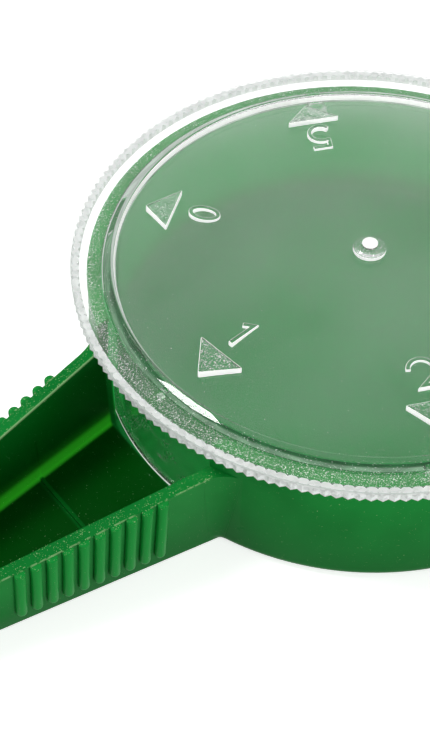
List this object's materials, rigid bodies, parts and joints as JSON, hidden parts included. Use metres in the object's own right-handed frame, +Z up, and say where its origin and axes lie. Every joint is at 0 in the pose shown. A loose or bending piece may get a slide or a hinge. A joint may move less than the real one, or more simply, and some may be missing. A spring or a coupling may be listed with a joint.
{
  "type": "dial seed sower",
  "caption": "Hand-held seed sower: a round cup with a long open chute, closed by a clear knurled dial whose gates meter the seeds.",
  "frame": {"origin": "the dial's axis at the underside of the cup, where the sower stands on a table", "axes": "+Z up along the dial's axis, -X along the chute towards its tip, -Y to the left seen along the chute from the cup"},
  "size_m": [0.1245, 0.065, 0.0198],
  "materials": {
    "body_plastic": "green injection-moulded plastic, satin to glossy",
    "clear_plastic": "clear injection-moulded styrene, glossy, with frosted knurl and pointers"
  },
  "bodies": {
    "sower_body": {"hopper_cup": "body_plastic", "seed_chute": "body_plastic", "trough_ridge": "body_plastic", "left_grip_ribs": "body_plastic", "right_grip_ribs": "body_plastic"},
    "lid_lift": {"retaining_ring": "clear_plastic"},
    "dial": {"dial_plate": "clear_plastic", "knurled_rim": "clear_plastic", "gate_drum": "clear_plastic", "centre_boss": "clear_plastic", "dial_numerals": "clear_plastic", "dial_pointers": "clear_plastic"}
  },
  "joints": [
    {"name": "dial_lift", "type": "slide", "parent": "sower_body", "child": "lid_lift", "axis": [0, 0, 1], "range_m": [0, 0.018]},
    {"name": "dial_turn", "type": "hinge", "parent": "lid_lift", "child": "dial", "pos_m": [0, 0, 0], "axis": [0, 0, 1], "continuous": true}
  ]
}
